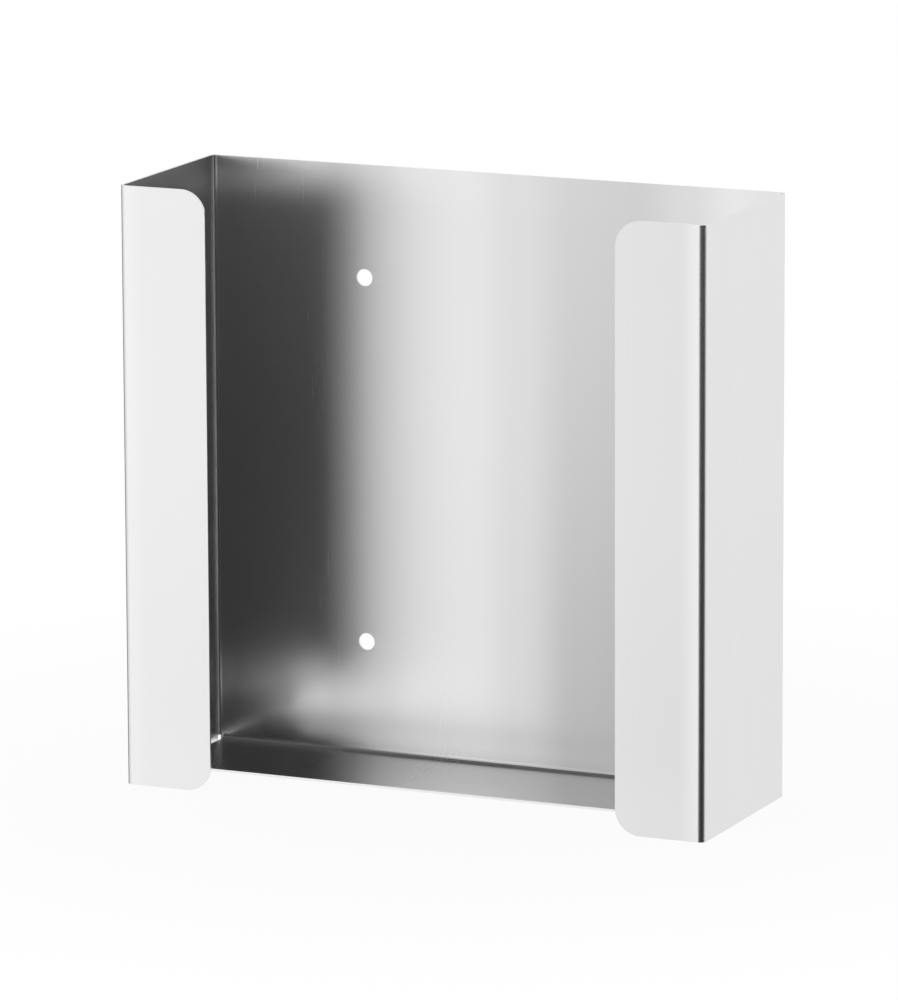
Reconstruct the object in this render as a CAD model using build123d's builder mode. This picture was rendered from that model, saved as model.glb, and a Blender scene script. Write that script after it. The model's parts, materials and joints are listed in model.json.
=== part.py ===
"""Disposable glove dispenser: an open wall holder folded from one steel sheet.

Frame, in millimetres: the origin is the centre of the four wall screws on the
wall face, +X runs along the width, +Y points into the wall and +Z points up.
The open front is towards -Y, and the holder can stand on its bottom edges.
"""

import os

from build123d import *

# Driving dimensions
holder_width = 250.0
holder_height = 243.0
holder_depth = 85.0
sheet = 1.0
inner_bend_radius = 1.8
lip_width = 37.5
lip_corner_radius = 10.5
shelf_depth = 52.0
shelf_corner_radius = 3.0
screw_spacing_x = 114.0
screw_spacing_z = 150.0
screw_row_height = 47.0
screw_hole_diameter = 7.0
relief_radius = 0.8

# Clearance
shelf_side_gap = 2.0

# Sizes that follow
outer_bend_radius = inner_bend_radius + sheet
half_width = holder_width / 2
bottom_z = -(screw_row_height + screw_spacing_z / 2)
bend_line_x = half_width - outer_bend_radius
bend_line_z = bottom_z + outer_bend_radius
bend_middle_z = bottom_z + outer_bend_radius / 2
shelf_width = holder_width - 2 * (sheet + shelf_side_gap)

with BuildPart() as folded_holder:
    # Wrap: back, two sides and two front lips, one strip with four bends.
    with BuildSketch(Plane.XY.offset(bottom_z)):
        with BuildLine():
            outside = FilletPolyline(
                (half_width - lip_width, -holder_depth),
                (half_width, -holder_depth),
                (half_width, 0),
                (-half_width, 0),
                (-half_width, -holder_depth),
                (-half_width + lip_width, -holder_depth),
                radius=outer_bend_radius,
            )
            offset(outside, amount=sheet, side=Side.LEFT)
        make_face()
    extrude(amount=holder_height)

    # The free corners of both lips are rounded off.
    lip_corners = folded_holder.edges().filter_by(Axis.Y).sort_by(Axis.Y)[:4]
    fillet(lip_corners, radius=lip_corner_radius)

    # Between the side bends the back ends at the shelf's bend line.
    with BuildSketch(Plane.XZ):
        with Locations((0, bottom_z)):
            Rectangle(2 * bend_line_x, outer_bend_radius, align=(Align.CENTER, Align.MIN))
    extrude(amount=sheet, mode=Mode.SUBTRACT)

    # Shelf: the back's lower end bent forward, standing clear of both sides.
    with BuildSketch(Plane.YZ.offset(-shelf_width / 2)):
        with BuildLine():
            underside = FilletPolyline(
                (0, 0),
                (0, bottom_z),
                (-shelf_depth, bottom_z),
                radius=outer_bend_radius,
            )
            offset(underside, amount=sheet, side=Side.RIGHT)
        make_face()
    extrude(amount=shelf_width)
    shelf_front = folded_holder.faces().filter_by(Axis.Y).sort_by(Axis.Z)[0]
    fillet(shelf_front.edges().filter_by(Axis.Z), radius=shelf_corner_radius)

    # Corner reliefs: round-topped notches at the feet of both rear side bends.
    for side in (-1, 1):
        bend_foot = Plane(
            origin=(side * bend_line_x, -outer_bend_radius, bend_middle_z),
            x_dir=(-1, side, 0),
            z_dir=(side, 1, 0),
        )
        with BuildSketch(bend_foot):
            Circle(relief_radius)
            Rectangle(2 * relief_radius, outer_bend_radius, align=(Align.CENTER, Align.MAX))
        extrude(amount=2 * outer_bend_radius, mode=Mode.SUBTRACT)

    # Four holes for the wall screws.
    with Locations(Plane.XZ):
        with GridLocations(screw_spacing_x, screw_spacing_z, 2, 2):
            Hole(screw_hole_diameter / 2, depth=sheet)

folded_holder.part.label = "folded_holder"

os.makedirs("parts", exist_ok=True)
export_step(folded_holder.part, "parts/folded_holder.step")
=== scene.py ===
# %% [markdown]
# # A glove dispenser folded from one steel sheet
# The real object is a single blank of brushed stainless steel, cut flat and then folded
# on a brake: a back with screw holes, two sides, two narrow front lips and a short shelf.
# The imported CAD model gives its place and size, so it is loaded first and measured.

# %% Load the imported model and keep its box
import json
import math

import bpy
from mathutils import Matrix, Vector


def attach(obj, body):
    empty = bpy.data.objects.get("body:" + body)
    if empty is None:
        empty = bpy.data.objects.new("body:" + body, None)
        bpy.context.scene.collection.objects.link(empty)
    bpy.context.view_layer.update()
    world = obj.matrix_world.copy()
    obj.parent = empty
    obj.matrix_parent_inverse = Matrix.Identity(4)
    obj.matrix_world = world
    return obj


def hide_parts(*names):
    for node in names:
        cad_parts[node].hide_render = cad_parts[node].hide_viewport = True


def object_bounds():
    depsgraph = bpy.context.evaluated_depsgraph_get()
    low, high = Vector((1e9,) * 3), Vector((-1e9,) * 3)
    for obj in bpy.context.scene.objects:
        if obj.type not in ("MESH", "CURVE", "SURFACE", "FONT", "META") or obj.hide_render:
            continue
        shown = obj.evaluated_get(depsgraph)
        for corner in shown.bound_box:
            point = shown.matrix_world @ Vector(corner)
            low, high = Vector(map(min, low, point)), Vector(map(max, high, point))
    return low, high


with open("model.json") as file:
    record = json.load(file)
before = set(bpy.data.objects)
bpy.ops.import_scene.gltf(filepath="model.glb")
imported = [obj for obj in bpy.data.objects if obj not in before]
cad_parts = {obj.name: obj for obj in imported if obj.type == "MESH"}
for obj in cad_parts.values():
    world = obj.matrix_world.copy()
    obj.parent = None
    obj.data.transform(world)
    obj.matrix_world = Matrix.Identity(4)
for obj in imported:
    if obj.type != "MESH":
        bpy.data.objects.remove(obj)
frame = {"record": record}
cad_low, cad_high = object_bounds()
print("CAD box, metres:", [round(v, 4) for v in (*cad_low, *cad_high)])

# %% [markdown]
# ## The sheet's own sizes
# Width, height and depth are read from the CAD box. The gauge, the bend radius and the
# widths of the lips and the shelf are the folder's settings, so they are named once here.
# A bend is measured at the middle of the sheet's thickness, because the sheet is first
# modelled as a skin without thickness that runs through its middle.

# %% Sizes of the folded sheet, in metres
SHEET_GAUGE = 0.001
INNER_BEND = 0.0018
LIP_WIDTH = 0.0375
LIP_CORNER_RADIUS = 0.0105
SHELF_DEPTH = 0.052
SHELF_SIDE_GAP = 0.002
SHELF_CORNER_RADIUS = 0.003
RELIEF_RADIUS = 0.0008
BEND_STEPS = 10

half_gauge = SHEET_GAUGE / 2
outer_bend = INNER_BEND + SHEET_GAUGE
bend_line_x = cad_high.x - outer_bend
bend_line_z = cad_low.z + outer_bend
shelf_half_width = cad_high.x - SHEET_GAUGE - SHELF_SIDE_GAP
screws = next(m for m in frame["record"]["mounts"] if m["name"] == "wall_screws")
screw_x = screws["dims"]["spacing_x_mm"] / 1000 / 2
screw_z = screws["dims"]["spacing_y_mm"] / 1000 / 2
screw_hole_radius = screws["dims"]["hole_r_mm"] / 1000
print("bend lines at x =", round(bend_line_x, 4), "and z =", round(bend_line_z, 4))

# %% [markdown]
# ## Picking edges and faces by their place
# The operators act on what is selected, as they do under a mouse. These helpers select
# in code: they clear the selection and then pick each vertex, edge or face whose middle
# passes a test. Numbers of edges would also do, but they change with every cut, and a
# place does not.

# %% Selection helpers
CLOSE = 1e-5


def near(value, target):
    return abs(value - target) < CLOSE


def add_alone(operator, **settings):
    """Adds a primitive with nothing else selected, and returns it."""
    bpy.ops.object.select_all(action="DESELECT")
    operator(**settings)
    return bpy.context.object


def pick(kind, test):
    """Selects the active mesh's vertices, edges or faces whose middle passes the test."""
    bpy.ops.object.mode_set(mode="EDIT")
    bpy.ops.mesh.select_mode(type=kind)
    bpy.ops.mesh.select_all(action="DESELECT")
    bpy.ops.object.mode_set(mode="OBJECT")
    mesh = bpy.context.object.data
    chosen = 0
    items = {"VERT": mesh.vertices, "EDGE": mesh.edges, "FACE": mesh.polygons}[kind]
    for item in items:
        ends = [item.index] if kind == "VERT" else item.vertices
        places = [mesh.vertices[i].co for i in ends]
        middle = sum(places, Vector()) / len(places)
        item.select = test(middle, places)
        chosen += item.select
    bpy.ops.object.mode_set(mode="EDIT")
    return chosen


print("places closer than", CLOSE, "metres count as the same")

# %% [markdown]
# ## The back panel
# The back is where the blank stays flat, so the folding starts from it. A plane is
# added standing on edge and scaled to the stretch between the two rear bend lines.

# %% Add the back
back_y = cad_high.y - half_gauge
sheet = add_alone(
    bpy.ops.mesh.primitive_plane_add,
    size=1,
    location=(0, back_y, (cad_low.z + cad_high.z) / 2),
    rotation=(math.pi / 2, 0, 0),
)
sheet.name = "brushed_folded_sheet"
sheet.scale = (2 * bend_line_x, cad_high.z - cad_low.z, 1)
bpy.ops.object.transform_apply(location=True, rotation=True, scale=True)
print("back between its bend lines:", [round(v, 4) for v in sheet.dimensions])

# %% [markdown]
# ## Folding
# A fold on a real brake is a stretch of flat sheet, then an arc, then flat sheet again.
# Here the spin operator turns an edge about the bend's axis, which draws the arc, and
# an extrusion draws the next flat. It could also be a bevel on a sharp corner, but a
# spin keeps the radius exact and leaves an even row of faces round each bend.

# %% Fold one run of edges and pull out the next flat
def fold(bend_centre, bend_axis, angle, flat_direction, flat_length):
    """Turns the selected edges about a bend's axis and extrudes the flat after it."""
    bpy.ops.mesh.spin(
        steps=BEND_STEPS,
        angle=angle,
        center=bend_centre,
        axis=bend_axis,
    )
    bpy.ops.mesh.extrude_region_move(
        TRANSFORM_OT_translate={"value": Vector(flat_direction) * flat_length}
    )
    bpy.ops.object.mode_set(mode="OBJECT")


side_flat = (cad_high.y - cad_low.y) - 2 * outer_bend
lip_flat = LIP_WIDTH - outer_bend
front_bend_y = cad_low.y + outer_bend
for side in (-1, 1):
    panel_edge = side * bend_line_x
    chosen = pick("EDGE", lambda m, ends: all(near(p.x, panel_edge) for p in ends))
    fold((panel_edge, -outer_bend, 0), (0, 0, 1), side * math.pi / 2, (0, -1, 0), side_flat)
    side_middle_x = side * (cad_high.x - half_gauge)
    pick("EDGE", lambda m, ends: near(m.x, side_middle_x)
         and all(near(p.y, front_bend_y) for p in ends))
    fold((panel_edge, front_bend_y, 0), (0, 0, 1), side * math.pi / 2, (-side, 0, 0), lip_flat)
    print("folded side", side, "from", chosen, "edges; faces:", len(sheet.data.polygons))

# %% [markdown]
# ## The shelf
# The back is cut along the shelf's bend line and beside the shelf. The strip below the
# bend line is removed, and the panel's new bottom edge is folded forward. Only the
# middle of that edge folds, so the shelf stands clear of both sides by a small gap.

# %% Cut the back and fold the shelf
pick("FACE", lambda m, corners: near(m.y, back_y))
bpy.ops.mesh.bisect(plane_co=(0, 0, bend_line_z), plane_no=(0, 0, 1))
for side in (-1, 1):
    pick("FACE", lambda m, corners: near(m.y, back_y))
    bpy.ops.mesh.bisect(plane_co=(side * shelf_half_width, 0, 0), plane_no=(1, 0, 0))
pick("FACE", lambda m, corners: near(m.y, back_y) and m.z < bend_line_z)
bpy.ops.mesh.delete(type="FACE")
pick("EDGE", lambda m, ends: all(near(p.z, bend_line_z) for p in ends) and near(m.x, 0))
shelf_flat = SHELF_DEPTH - outer_bend
fold((0, -outer_bend, bend_line_z), (1, 0, 0), math.pi / 2, (0, -1, 0), shelf_flat)
print("faces with the shelf:", len(sheet.data.polygons))

# %% [markdown]
# ## Rounding the free corners
# The lips' free corners would catch a hand or a glove box, so the blank has them cut
# round. A vertex bevel does the same to a corner of a skin: it swaps the corner for an
# arc that starts one radius away along both edges.

# %% Round the lips' and the shelf's corners
CORNER_STEPS = 14
lip_end_x = cad_high.x - LIP_WIDTH
lip_middle_y = cad_low.y + half_gauge
shelf_front_y = -SHELF_DEPTH


def round_corners(test, radius):
    """Swaps each picked corner vertex for an arc of that radius."""
    chosen = pick("VERT", test)
    bpy.ops.mesh.bevel(
        offset=radius,
        offset_pct=0,
        segments=CORNER_STEPS,
        profile=0.5,
        affect="VERTICES",
        clamp_overlap=False,
    )
    bpy.ops.object.mode_set(mode="OBJECT")
    return chosen


lip_corners = round_corners(
    lambda m, ends: near(abs(m.x), lip_end_x) and near(m.y, lip_middle_y), LIP_CORNER_RADIUS
)
shelf_corners = round_corners(
    lambda m, ends: near(abs(m.x), shelf_half_width) and near(m.y, shelf_front_y),
    SHELF_CORNER_RADIUS,
)
print("rounded", lip_corners, "lip corners and", shelf_corners, "shelf corners")

# %% [markdown]
# ## From a skin to a sheet
# The skin gets the sheet's gauge from a Solidify modifier, half to each side, so that
# the middle of the sheet stays where the bends were drawn. Doubled points are merged
# and the faces turned the same way first, because Solidify follows the face normals.

# %% Give the skin its gauge
bpy.ops.object.mode_set(mode="EDIT")
bpy.ops.mesh.select_all(action="SELECT")
bpy.ops.mesh.remove_doubles(threshold=CLOSE)
bpy.ops.mesh.normals_make_consistent(inside=False)
bpy.ops.object.mode_set(mode="OBJECT")
gauge = sheet.modifiers.new("gauge", "SOLIDIFY")
gauge.thickness = SHEET_GAUGE
gauge.offset = 0
gauge.use_even_offset = True
bpy.ops.object.modifier_apply(modifier=gauge.name)
print("sheet faces after the gauge:", len(sheet.data.polygons))

# %% [markdown]
# ## Screw holes and corner reliefs
# Holes are punched through the back for the wall screws. At the foot of each rear bend
# the blank also has a small notch, so that the shelf's bend and the side's bend do not
# tear each other. The punches are real shapes here: cylinders, and for the reliefs
# cylinders whose lower half is pulled down past the sheet's edge. A Boolean modifier
# takes them all away at once.

# %% Make the punches
HOLE_STEPS = 64
RELIEF_STEPS = 32


def punch(name, radius, steps, centre, direction, length):
    """A round punch of that radius and length, centred on a point along a direction."""
    tool = add_alone(
        bpy.ops.mesh.primitive_cylinder_add,
        vertices=steps,
        radius=radius,
        depth=length,
        location=centre,
        rotation=Vector(direction).to_track_quat("Z", "X").to_euler(),
    )
    bpy.ops.object.transform_apply(location=True, rotation=True, scale=True)
    tool.name = name
    return tool


right_through = 4 * SHEET_GAUGE
punches = [
    punch("hole_punch", screw_hole_radius, HOLE_STEPS, (x, back_y, z), (0, 1, 0), right_through)
    for x in (-screw_x, screw_x)
    for z in (-screw_z, screw_z)
]
relief_z = cad_low.z + outer_bend / 2
for side in (-1, 1):
    outwards = Vector((side, 1, 0)).normalized()
    bend_centre = Vector((side * bend_line_x, -outer_bend, relief_z))
    relief = punch(
        "relief_punch",
        RELIEF_RADIUS,
        RELIEF_STEPS,
        bend_centre + outwards * outer_bend,
        outwards,
        2 * outer_bend,
    )
    pick("VERT", lambda m, ends: m.z < relief_z - CLOSE)
    bpy.ops.transform.translate(value=(0, 0, -outer_bend))
    bpy.ops.object.mode_set(mode="OBJECT")
    punches.append(relief)
print("punches made:", len(punches))

# %% Punch the sheet
bpy.ops.object.select_all(action="DESELECT")
for tool in punches:
    tool.select_set(True)
bpy.context.view_layer.objects.active = punches[0]
bpy.ops.object.join()
all_punches = bpy.context.object
bpy.ops.object.select_all(action="DESELECT")
sheet.select_set(True)
bpy.context.view_layer.objects.active = sheet
punching = sheet.modifiers.new("punching", "BOOLEAN")
punching.operation = "DIFFERENCE"
punching.solver = "EXACT"
punching.object = all_punches
bpy.ops.object.modifier_apply(modifier=punching.name)
bpy.data.objects.remove(all_punches)
print("sheet faces after punching:", len(sheet.data.polygons))

# %% [markdown]
# ## Deburred edges
# A cut edge is never knife-sharp on a finished product: deburring leaves it slightly
# round, and that thin round catches a line of light. A Bevel modifier limited by angle
# rounds only the cut edges, since the faces round a bend meet at a few degrees. The
# Weighted Normal modifier then keeps the large flats shading as flats.

# %% Deburr and smooth
DEBURR_WIDTH = 0.00012
CUT_EDGE_ANGLE = math.radians(40)
SMOOTH_ANGLE = math.radians(35)
deburr = sheet.modifiers.new("deburr", "BEVEL")
deburr.width = DEBURR_WIDTH
deburr.segments = 2
deburr.limit_method = "ANGLE"
deburr.angle_limit = CUT_EDGE_ANGLE
bpy.ops.object.modifier_apply(modifier=deburr.name)
bpy.ops.object.shade_smooth_by_angle(angle=SMOOTH_ANGLE)
flats = sheet.modifiers.new("flats", "WEIGHTED_NORMAL")
flats.keep_sharp = True
flats.weight = 100
bpy.ops.object.modifier_apply(modifier=flats.name)
print("finished sheet:", len(sheet.data.polygons), "faces")

# %% [markdown]
# ## Unrolling the sheet
# The brushing was done on the flat blank, so its lines run up the back and follow the
# metal round every bend. A UV map that unrolls the sheet carries them: U runs across
# the lines along the folded outline, V runs along them. Both are in metres. The place
# across the gauge is added to each, so that the thin cut edges are not squashed flat.

# %% Unroll the sheet into a UV map
middle_bend = INNER_BEND + half_gauge
arc_length = middle_bend * math.pi / 2


def unroll_outline(across, y):
    """Distance from the centre line along the folded outline, and place in the gauge."""
    if y > -outer_bend and across <= bend_line_x:
        return across, y - back_y
    if y > -outer_bend:
        reach = math.hypot(across - bend_line_x, y + outer_bend)
        turn = math.atan2(across - bend_line_x, y + outer_bend)
        return bend_line_x + middle_bend * turn, reach - middle_bend
    if y > front_bend_y:
        return bend_line_x + arc_length - outer_bend - y, across - (cad_high.x - half_gauge)
    front_start = bend_line_x + arc_length + side_flat
    if across > bend_line_x:
        reach = math.hypot(across - bend_line_x, front_bend_y - y)
        turn = math.atan2(front_bend_y - y, across - bend_line_x)
        return front_start + middle_bend * turn, reach - middle_bend
    return front_start + arc_length + bend_line_x - across, lip_middle_y - y


def unroll_shelf(y, z):
    """Height of the shelf's metal on the flat blank, and place in the gauge."""
    if y > -outer_bend:
        reach = math.hypot(y + outer_bend, bend_line_z - z)
        turn = math.atan2(bend_line_z - z, y + outer_bend)
        return bend_line_z - middle_bend * turn, reach - middle_bend
    return bend_line_z - arc_length + outer_bend + y, cad_low.z + half_gauge - z


def unroll(place):
    """Where a point of the folded sheet lies on the flat blank."""
    across = abs(place.x)
    on_shelf = across < shelf_half_width + CLOSE and place.z < bend_line_z
    if on_shelf and place.y > shelf_front_y - CLOSE:
        height, gauge_place = unroll_shelf(place.y, place.z)
        return place.x + gauge_place, height + gauge_place
    distance, gauge_place = unroll_outline(across, place.y)
    return math.copysign(distance, place.x) + gauge_place, place.z + gauge_place


blank_map = sheet.data.uv_layers.new(name="unrolled_blank")
for loop in sheet.data.loops:
    blank_map.data[loop.index].uv = unroll(sheet.data.vertices[loop.vertex_index].co)
reach = [max(abs(d.uv[i]) for d in blank_map.data) for i in (0, 1)]
print("blank reaches", [round(r, 4) for r in reach], "metres from the screw centre")

# %% [markdown]
# ## Brushing lines
# A brushed finish is made of long, fine scratches, with wider and fainter bands where the
# belt pressed harder. An image of scratches would serve up close, but it repeats and has
# to be stored, so each scale of lines is a noise pattern that is stretched along them.
# One node group makes all the scales: it takes a place on the blank and says how many
# lines there are to a metre, across and along.

# %% Node helpers
def add_node(tree, kind, **settings):
    """Adds a node and sets its own properties."""
    node = tree.nodes.new(kind)
    for name, value in settings.items():
        setattr(node, name, value)
    return node


def calculate(tree, operation, *values):
    """A Math node; each value is a number or another node's socket."""
    node = add_node(tree, "ShaderNodeMath", operation=operation)
    for socket, value in zip(node.inputs, values):
        if isinstance(value, (int, float)):
            socket.default_value = value
        else:
            tree.links.new(value, socket)
    return node.outputs[0]


def map_range(tree, value, start, end, first, last, kind="SMOOTHSTEP"):
    """Goes from the first number to the last while the value goes from start to end."""
    node = add_node(tree, "ShaderNodeMapRange", interpolation_type=kind)
    for name, number in (
        ("From Min", start), ("From Max", end), ("To Min", first), ("To Max", last)
    ):
        node.inputs[name].default_value = number
    tree.links.new(value, node.inputs["Value"])
    return node.outputs["Result"]


def draw_ramp(tree, along, stops, kind):
    """A Color Ramp in grey; each stop is a place and a level, both from 0 to 1."""
    node = add_node(tree, "ShaderNodeValToRGB")
    ramp = node.color_ramp
    ramp.interpolation = kind
    while len(ramp.elements) < len(stops):
        ramp.elements.new(0.5)
    for element, (place, level) in zip(ramp.elements, stops):
        element.position = place
    for element, (place, level) in zip(ramp.elements, stops):
        element.color = (level, level, level, 1)
    tree.links.new(along, node.inputs["Fac"])
    return node.outputs["Color"]


print("helpers make a node, a Math node, a Map Range and a Color Ramp")

# %% The group for brushing lines
brushing = bpy.data.node_groups.new("brushing_lines", "ShaderNodeTree")
for name, way, kind in (
    ("Place on blank", "INPUT", "NodeSocketVector"),
    ("Lines across", "INPUT", "NodeSocketFloat"),
    ("Lines along", "INPUT", "NodeSocketFloat"),
    ("Lines", "OUTPUT", "NodeSocketFloat"),
):
    brushing.interface.new_socket(name, in_out=way, socket_type=kind)
group_in = add_node(brushing, "NodeGroupInput")
group_out = add_node(brushing, "NodeGroupOutput")
line_scale = add_node(brushing, "ShaderNodeCombineXYZ")
stretched = add_node(brushing, "ShaderNodeVectorMath", operation="MULTIPLY")
line_noise = add_node(brushing, "ShaderNodeTexNoise", noise_dimensions="2D")
line_noise.inputs["Scale"].default_value = 1
line_noise.inputs["Detail"].default_value = 2
brushing.links.new(group_in.outputs["Lines across"], line_scale.inputs["X"])
brushing.links.new(group_in.outputs["Lines along"], line_scale.inputs["Y"])
brushing.links.new(group_in.outputs["Place on blank"], stretched.inputs[0])
brushing.links.new(line_scale.outputs["Vector"], stretched.inputs[1])
brushing.links.new(stretched.outputs["Vector"], line_noise.inputs["Vector"])
brushing.links.new(line_noise.outputs["Fac"], group_out.inputs["Lines"])
print("group", brushing.name, "has", len(brushing.nodes), "nodes")

# %% [markdown]
# ## Brushed stainless steel
# Brushed metal spreads a reflection widely across its lines and little along them. The
# shader's Anisotropic value does that, and its Tangent says which way is across: it is
# taken from the unrolled map, so it follows the metal round each bend. Deeper bumps alone
# could spread the reflection too, but they would show as noise. The lines then vary the
# grey and the roughness a little, which draws the faint streaks that run up the back.

# %% The steel's material
STEEL_GREY = 0.80
STEEL_ROUGHNESS = 0.27
STEEL_ANISOTROPY = 0.65

steel = bpy.data.materials.new("brushed_stainless_steel")
steel.use_nodes = True
steel_tree = steel.node_tree
steel_shader = steel_tree.nodes["Principled BSDF"]
steel_shader.inputs["Metallic"].default_value = 1
steel_shader.inputs["Anisotropic"].default_value = STEEL_ANISOTROPY
on_blank = add_node(steel_tree, "ShaderNodeUVMap", uv_map=blank_map.name)
across_lines = add_node(
    steel_tree, "ShaderNodeTangent", direction_type="UV_MAP", uv_map=blank_map.name
)
steel_tree.links.new(across_lines.outputs["Tangent"], steel_shader.inputs["Tangent"])
print(steel.name, "has roughness", STEEL_ROUGHNESS, "and anisotropy", STEEL_ANISOTROPY)

# %% Three scales of lines
SCRATCHES = (1700, 11)
HAIRLINES = (420, 4)
BANDS = (60, 1.5)


def steel_lines(across, along):
    """One scale of brushing lines, as a value about one half."""
    node = add_node(steel_tree, "ShaderNodeGroup", node_tree=brushing)
    node.inputs["Lines across"].default_value = across
    node.inputs["Lines along"].default_value = along
    steel_tree.links.new(on_blank.outputs["UV"], node.inputs["Place on blank"])
    return node.outputs["Lines"]


scratches = steel_lines(*SCRATCHES)
hairlines = steel_lines(*HAIRLINES)
bands = steel_lines(*BANDS)
print("lines to a metre, across and along:", SCRATCHES, HAIRLINES, BANDS)

# %% Let the lines vary the grey and the roughness
NOISE_LOW, NOISE_HIGH = 0.3, 0.7
GREY_SPREAD = 0.006
ROUGHNESS_SPREAD = 0.004


def vary(lines, middle, spread, socket):
    """Lets the lines move one of the shader's values about its middle."""
    value = map_range(
        steel_tree, lines, NOISE_LOW, NOISE_HIGH, middle - spread, middle + spread, "LINEAR"
    )
    steel_tree.links.new(value, steel_shader.inputs[socket])


both_lines = calculate(steel_tree, "ADD", scratches, bands)
mean_lines = calculate(steel_tree, "MULTIPLY", both_lines, 0.5)
vary(mean_lines, STEEL_GREY, GREY_SPREAD, "Base Color")
vary(mean_lines, STEEL_ROUGHNESS, ROUGHNESS_SPREAD, "Roughness")
print("grey varies by", GREY_SPREAD, "and roughness by", ROUGHNESS_SPREAD)

# %% [markdown]
# ## Flats that are not quite flat
# A folded sheet is never perfectly flat: the flats bow by a few degrees between their
# bends, and steel shows it, because its reflections slide across the panel. Real bowing
# would move the outline, so only the direction the surface faces is changed. One ramp
# per flat gives its lean to the right, in degrees by place. The back's foot looks up a
# little just above the shelf's bend, and so does every flat near its free upper rim.

# %% Where on the sheet a point lies
ON_PANEL = 1.2 * SHEET_GAUGE


def slope(degrees):
    """Sideways part of a normal that leans by so many degrees."""
    return math.tan(math.radians(degrees))


def on_steel(value, start, end, first, last, kind="SMOOTHSTEP"):
    """A fade in the steel's own nodes."""
    return map_range(steel_tree, value, start, end, first, last, kind)


def times(first, second):
    """Product of two values in the steel's own nodes."""
    return calculate(steel_tree, "MULTIPLY", first, second)


on_sheet = add_node(steel_tree, "ShaderNodeTexCoord")
sheet_parts = add_node(steel_tree, "ShaderNodeSeparateXYZ")
steel_tree.links.new(on_sheet.outputs["Object"], sheet_parts.inputs["Vector"])
place_x, place_y, place_z = (sheet_parts.outputs[name] for name in "XYZ")
above_bottom = calculate(steel_tree, "SUBTRACT", place_z, cad_low.z)
on_back = calculate(steel_tree, "GREATER_THAN", place_y, -ON_PANEL)
on_lips = calculate(steel_tree, "LESS_THAN", place_y, cad_low.y + ON_PANEL)
print("a point within", ON_PANEL, "metres of the wall face is on the back")

# %% Lean to the right
BACK_LEAN = (
    (-0.118, -2.5), (-0.094, -2.0), (-0.083, 0.5), (-0.070, 4.2), (-0.050, 3.8),
    (-0.034, 1.2), (-0.015, 1.0), (0.010, 3.5), (0.035, 6.0), (0.060, 6.4), (0.085, 4.2),
    (0.105, 1.0),
)
LIP_LEAN = ((-0.110, 1.6), (0.090, 2.4))
MOST_LEAN = 8
PANEL_REACH = 0.125
RIGHT_PART_START = 0.03
MORE_AT_BOTTOM, LESS_AT_TOP = 1.2, 0.75
FOOT_SHARE = 0.84
FOOT_LOW, FOOT_HIGH = 0.004, 0.036
BEND_FADE = 0.008

along_panel = calculate(
    steel_tree, "MULTIPLY_ADD", place_x, 1 / (2 * PANEL_REACH), 0.5
)


def lean_along(stops):
    """Slope of a flat to the right, drawn by its place along the width."""
    shares = [
        ((place + PANEL_REACH) / (2 * PANEL_REACH), 0.5 + 0.5 * degrees / MOST_LEAN)
        for place, degrees in stops
    ]
    drawn = draw_ramp(steel_tree, along_panel, shares, "EASE")
    return calculate(
        steel_tree, "MULTIPLY_ADD", drawn, 2 * slope(MOST_LEAN), -slope(MOST_LEAN)
    )


to_right = calculate(steel_tree, "DIVIDE", place_x, RIGHT_PART_START)
to_right.node.use_clamp = True
more_when_low = on_steel(
    times(place_z, to_right), cad_low.z, cad_high.z, MORE_AT_BOTTOM, LESS_AT_TOP, "LINEAR"
)
back_lean = times(times(lean_along(BACK_LEAN), more_when_low), on_back)
lip_lean = times(lean_along(LIP_LEAN), on_lips)
right_lean = calculate(steel_tree, "ADD", back_lean, lip_lean)
right_lean = times(right_lean, on_steel(above_bottom, FOOT_LOW, FOOT_HIGH, FOOT_SHARE, 1))
off_centre = calculate(steel_tree, "ABSOLUTE", place_x)
right_lean = times(
    right_lean, on_steel(off_centre, bend_line_x - BEND_FADE, bend_line_x, 1, 0)
)
print("back leans up to", max(degrees for place, degrees in BACK_LEAN), "degrees")

# %% Lean up at the foot and at the rim
FOOT_LEAN = 4.0
FOOT_FADE = (0.0045, 0.016)
ABOVE_FOOT_LEAN = -1.6
ABOVE_FOOT_START = (0.013, 0.024)
ABOVE_FOOT_END = (0.030, 0.060)
LEFT_OF_FOOT = (-0.102, -0.080)
RIM_LEAN = 5.0
RIM_HEIGHT = 0.034

foot = on_steel(above_bottom, *FOOT_FADE, slope(FOOT_LEAN), 0)
above_foot = times(
    on_steel(above_bottom, *ABOVE_FOOT_START, 0, slope(ABOVE_FOOT_LEAN)),
    on_steel(above_bottom, *ABOVE_FOOT_END, 1, 0),
)
foot_lean = times(
    calculate(steel_tree, "ADD", foot, above_foot), on_steel(place_x, *LEFT_OF_FOOT, 0, 1)
)
rim_lean = on_steel(place_z, cad_high.z - RIM_HEIGHT, cad_high.z, 0, slope(RIM_LEAN))
up_lean = calculate(steel_tree, "ADD", times(foot_lean, on_back), rim_lean)
print("upward lean, degrees: foot", FOOT_LEAN, "rim", RIM_LEAN)

# %% Turn the surface's direction by both leans
leaning = add_node(steel_tree, "ShaderNodeCombineXYZ")
steel_tree.links.new(right_lean, leaning.inputs["X"])
steel_tree.links.new(up_lean, leaning.inputs["Z"])
true_normal = add_node(steel_tree, "ShaderNodeNewGeometry")
leant = add_node(steel_tree, "ShaderNodeVectorMath", operation="ADD")
steel_tree.links.new(true_normal.outputs["Normal"], leant.inputs[0])
steel_tree.links.new(leaning.outputs["Vector"], leant.inputs[1])
leant_normal = add_node(steel_tree, "ShaderNodeVectorMath", operation="NORMALIZE")
steel_tree.links.new(leant.outputs["Vector"], leant_normal.inputs[0])
print("steel has", len(steel_tree.nodes), "nodes with its leans")

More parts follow.
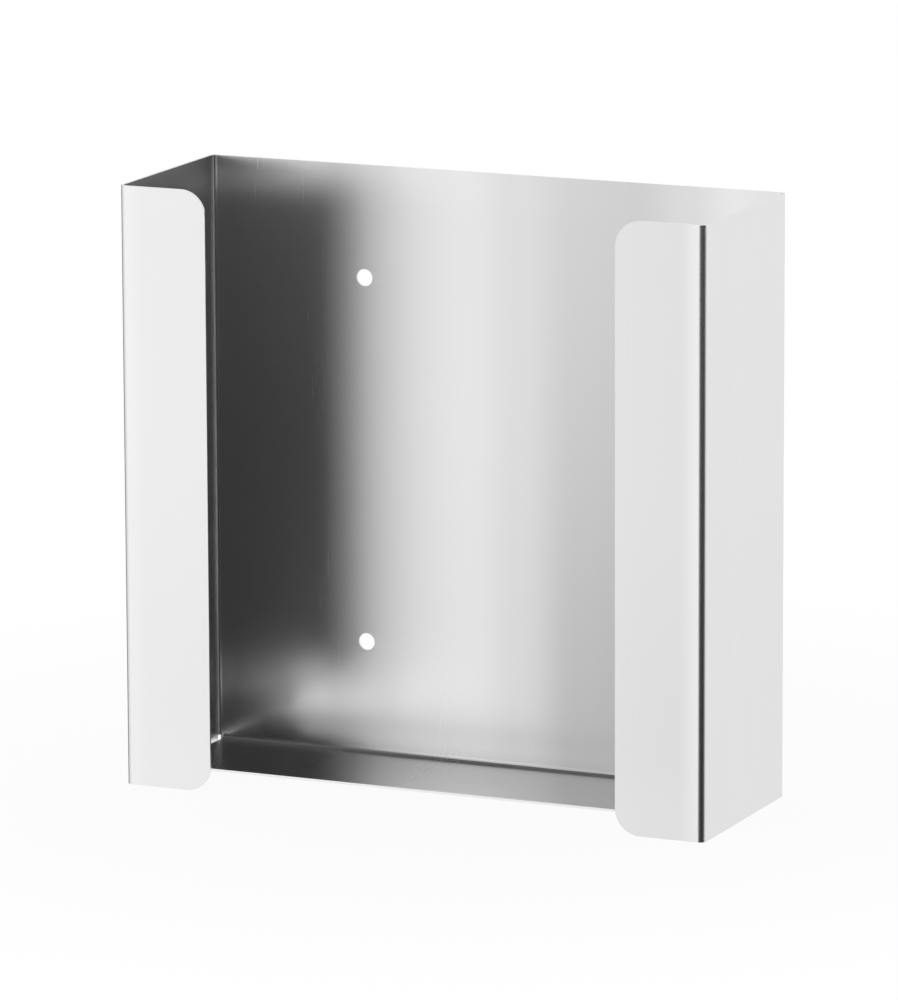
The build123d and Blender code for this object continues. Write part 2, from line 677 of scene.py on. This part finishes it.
# %% [markdown]
# ## Relief of the lines
# Each scratch is a shallow groove, so it also tilts the surface by a fraction of a degree
# on its two sides. Modelled grooves would need millions of faces. Bump nodes tilt only
# the shading, the wider hairlines first and the finer scratches on top of them.

# %% Let the lines tilt the surface
SCRATCH_DEPTH = 0.0000002
HAIRLINE_DEPTH = 0.0000012


def tilt_by(height, depth, normal):
    """A Bump node of that depth in metres, on top of an earlier direction."""
    node = add_node(steel_tree, "ShaderNodeBump")
    node.inputs["Distance"].default_value = depth
    steel_tree.links.new(height, node.inputs["Height"])
    steel_tree.links.new(normal, node.inputs["Normal"])
    return node.outputs["Normal"]


steel_normal = tilt_by(hairlines, HAIRLINE_DEPTH, leant_normal.outputs["Vector"])
steel_normal = tilt_by(scratches, SCRATCH_DEPTH, steel_normal)
steel_tree.links.new(steel_normal, steel_shader.inputs["Normal"])
sheet.data.materials.clear()
sheet.data.materials.append(steel)
print("steel has", len(steel_tree.nodes), "nodes")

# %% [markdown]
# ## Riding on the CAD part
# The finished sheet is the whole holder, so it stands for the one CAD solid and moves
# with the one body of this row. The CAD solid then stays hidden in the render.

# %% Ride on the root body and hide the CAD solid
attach(sheet, "root")
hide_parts("folded_holder")
print(sheet.name, "stands for folded_holder")

# %% [markdown]
# ## Camera
# The holder is seen from its front right and from a little above. A long lens a few
# metres away keeps its upright edges almost parallel. The camera is turned in three
# steps, about the upright axis, then about its own width, then a touch about its own
# line of sight, and it is then moved back along that line from the point it looks at.

# %% Place the camera
CAMERA_AZIMUTH = math.radians(24.0)
CAMERA_ELEVATION = math.radians(11.58)
CAMERA_ROLL = math.radians(-0.23)
CAMERA_DISTANCE = 3.142
CAMERA_LENS = 279.6
SENSOR_WIDTH = 36
AIM = Vector((-0.0260, 0.0121, -0.0163))

turn = (
    Matrix.Rotation(CAMERA_AZIMUTH, 3, "Z")
    @ Matrix.Rotation(math.pi / 2 - CAMERA_ELEVATION, 3, "X")
    @ Matrix.Rotation(CAMERA_ROLL, 3, "Z")
)
camera = add_alone(
    bpy.ops.object.camera_add,
    location=AIM + CAMERA_DISTANCE * turn.col[2],
    rotation=turn.to_euler(),
)
camera.name = "camera"
camera.data.lens = CAMERA_LENS
camera.data.sensor_width = SENSOR_WIDTH
bpy.context.scene.camera = camera
print("camera at", [round(v, 3) for v in camera.location])

# %% [markdown]
# ## Floor
# The floor is plain white and runs past the frame's edges, so that it has no horizon.
# A floor that is only lit would come out grey, so most of its white is its own, and a
# small share is lit, which is enough to carry the holder's soft shadow. That share fades
# out a short way from the holder. On its wall the holder has nothing under it, so rays
# that leave the steel go through the floor and meet the same white backdrop beyond.

# %% Lay the floor
FLOOR_RADIUS = 2.5

floor = add_alone(
    bpy.ops.mesh.primitive_circle_add,
    vertices=96,
    radius=FLOOR_RADIUS,
    fill_type="NGON",
    location=(0, (cad_low.y + cad_high.y) / 2, cad_low.z),
)
bpy.ops.object.transform_apply(location=True, rotation=True, scale=True)
floor.name = "floor"
print("floor of", FLOOR_RADIUS, "m radius at z =", round(cad_low.z, 4))

# %% The floor's white and its shadow
FLOOR_GREY = 0.9
LIT_SHARE = 0.05
FADE_START = 0.16
FADE_END = 0.42

floor_white = bpy.data.materials.new("white_floor")
floor_white.use_nodes = True
floor_tree = floor_white.node_tree
floor_tree.nodes.clear()
lit = add_node(floor_tree, "ShaderNodeBsdfDiffuse")
lit.inputs["Color"].default_value = (FLOOR_GREY, FLOOR_GREY, FLOOR_GREY, 1)
own_white = add_node(floor_tree, "ShaderNodeEmission")
place = add_node(floor_tree, "ShaderNodeTexCoord")
from_middle = add_node(floor_tree, "ShaderNodeVectorMath", operation="LENGTH")
floor_tree.links.new(place.outputs["Object"], from_middle.inputs[0])
lit_share = map_range(
    floor_tree, from_middle.outputs["Value"], FADE_START, FADE_END, LIT_SHARE, 0
)
floor_seen = add_node(floor_tree, "ShaderNodeMixShader")
floor_tree.links.new(lit_share, floor_seen.inputs["Fac"])
floor_tree.links.new(own_white.outputs["Emission"], floor_seen.inputs[1])
floor_tree.links.new(lit.outputs["BSDF"], floor_seen.inputs[2])
print("lit share of the floor near the holder:", LIT_SHARE)

# %% Let mirrored rays through the floor
def mirrored_rays(tree, rays):
    """One for a ray that a mirror or a glass sends on, and zero for any other."""
    return calculate(
        tree, "ADD", rays.outputs["Is Glossy Ray"], rays.outputs["Is Transmission Ray"]
    )


floor_rays = add_node(floor_tree, "ShaderNodeLightPath")
see_through = add_node(floor_tree, "ShaderNodeBsdfTransparent")
see_through.inputs["Color"].default_value = (1, 1, 1, 1)
floor_or_room = add_node(floor_tree, "ShaderNodeMixShader")
floor_end = add_node(floor_tree, "ShaderNodeOutputMaterial")
floor_tree.links.new(mirrored_rays(floor_tree, floor_rays), floor_or_room.inputs["Fac"])
floor_tree.links.new(floor_seen.outputs["Shader"], floor_or_room.inputs[1])
floor_tree.links.new(see_through.outputs["BSDF"], floor_or_room.inputs[2])
floor_tree.links.new(floor_or_room.outputs["Shader"], floor_end.inputs["Surface"])
floor.data.materials.append(floor_white)
print("floor shader has", len(floor_tree.nodes), "nodes")

# %% [markdown]
# ## Studio light
# Bare metal shows the room it stands in, so the room does the lighting. It is a white
# backdrop all round, with a brighter soft light at the front left and an unlit part at
# the front right, where the camera stands. That dark part is what the deep left corner
# of the holder shows, and a dark strip at the rear left draws the line down its left
# outline. Area lamps could light it too, but the room is simpler to draw in the world, by
# compass direction and by height. What the camera sees past the holder is plain white.

# %% Which way a ray leaves, as compass direction and height
room = bpy.data.worlds.new("studio_room")
bpy.context.scene.world = room
room.use_nodes = True
room_tree = room.node_tree
room_tree.nodes.clear()
ray_direction = add_node(room_tree, "ShaderNodeTexCoord")
direction_parts = add_node(room_tree, "ShaderNodeSeparateXYZ")
room_tree.links.new(ray_direction.outputs["Generated"], direction_parts.inputs["Vector"])
forwards = calculate(room_tree, "MULTIPLY", direction_parts.outputs["Y"], -1)
compass = calculate(room_tree, "ARCTAN2", direction_parts.outputs["X"], forwards)
compass = calculate(room_tree, "DIVIDE", compass, 2 * math.pi)
compass = calculate(room_tree, "ADD", compass, 0.5)
height = calculate(room_tree, "ARCSINE", direction_parts.outputs["Z"])
height = calculate(room_tree, "DEGREES", height)
print("compass and height take", len(room_tree.nodes), "nodes")

# %% The room's light by compass direction
ROOM_AT_EYE_HEIGHT = (
    (-180, 0.9), (-137, 0.9), (-132, 0.06), (-102, 0.06), (-92, 0.9), (-66, 0.85),
    (-48, 1.0), (-36, 1.2), (-20, 1.34), (-13, 0.85), (-4, 0.3), (8, 0.02), (86, 0.02),
    (104, 0.9), (120, 1.0), (180, 0.95),
)
ROOM_ABOVE = (
    (-180, 0.95), (-100, 1.2), (-60, 1.2), (-20, 0.78), (10, 0.06), (60, 0.06), (90, 0.8),
    (180, 0.95),
)
ROOM_BELOW = (
    (-180, 0.95), (-60, 1.0), (-20, 1.0), (8, 0.5), (66, 0.35), (120, 0.5), (180, 0.95),
)
OVERHEAD = 0.12
BRIGHTEST = 2


def light_ring(stops):
    """Light by compass direction: zero degrees is straight ahead, negative is left."""
    shares = [((degrees + 180) / 360, level / BRIGHTEST) for degrees, level in stops]
    return draw_ramp(room_tree, compass, shares, "LINEAR")


print("brightest part of the room:", max(level for degrees, level in ROOM_AT_EYE_HEIGHT))

# %% Join the rings by height
BELOW_TO_EYE = (-44, -26)
EYE_TO_ABOVE = (8, 24)
ABOVE_TO_OVERHEAD = (38, 58)


def mix_values(share, first, second):
    """Goes from one value to another; the second may be a plain number."""
    mix = add_node(room_tree, "ShaderNodeMix", data_type="FLOAT")
    room_tree.links.new(share, mix.inputs["Factor"])
    room_tree.links.new(first, mix.inputs["A"])
    if isinstance(second, (int, float)):
        mix.inputs["B"].default_value = second
    else:
        room_tree.links.new(second, mix.inputs["B"])
    return mix.outputs["Result"]


def blend_by_height(low_value, high_value, heights):
    """Goes from one light to another between two heights in degrees."""
    share = map_range(room_tree, height, *heights, 0, 1)
    return mix_values(share, low_value, high_value)


room_light = blend_by_height(
    light_ring(ROOM_BELOW), light_ring(ROOM_AT_EYE_HEIGHT), BELOW_TO_EYE
)
room_light = blend_by_height(room_light, light_ring(ROOM_ABOVE), EYE_TO_ABOVE)
room_light = blend_by_height(room_light, OVERHEAD / BRIGHTEST, ABOVE_TO_OVERHEAD)
room_light = calculate(room_tree, "MULTIPLY", room_light, BRIGHTEST)
print("rings joined over the heights", BELOW_TO_EYE, EYE_TO_ABOVE, ABOVE_TO_OVERHEAD)

# %% White behind the holder
BEHIND_ON_THE_LEFT = 0.11

room_rays = add_node(room_tree, "ShaderNodeLightPath")
behind = calculate(room_tree, "LESS_THAN", compass, BEHIND_ON_THE_LEFT)
mirrored_behind = calculate(
    room_tree, "MULTIPLY", mirrored_rays(room_tree, room_rays), behind
)
plain_white = calculate(
    room_tree, "ADD", room_rays.outputs["Is Camera Ray"], mirrored_behind
)
white_or_room = mix_values(plain_white, room_light, 1)
room_background = add_node(room_tree, "ShaderNodeBackground")
room_background.inputs["Color"].default_value = (1, 1, 1, 1)
room_end = add_node(room_tree, "ShaderNodeOutputWorld")
room_tree.links.new(white_or_room, room_background.inputs["Strength"])
room_tree.links.new(room_background.outputs["Background"], room_end.inputs["Surface"])
print("room shader has", len(room_tree.nodes), "nodes")

# %% [markdown]
# ## Colour settings
# The Standard view shows each colour as it is written.

# %% Set the colour view
scene = bpy.context.scene
scene.view_settings.view_transform = "Standard"
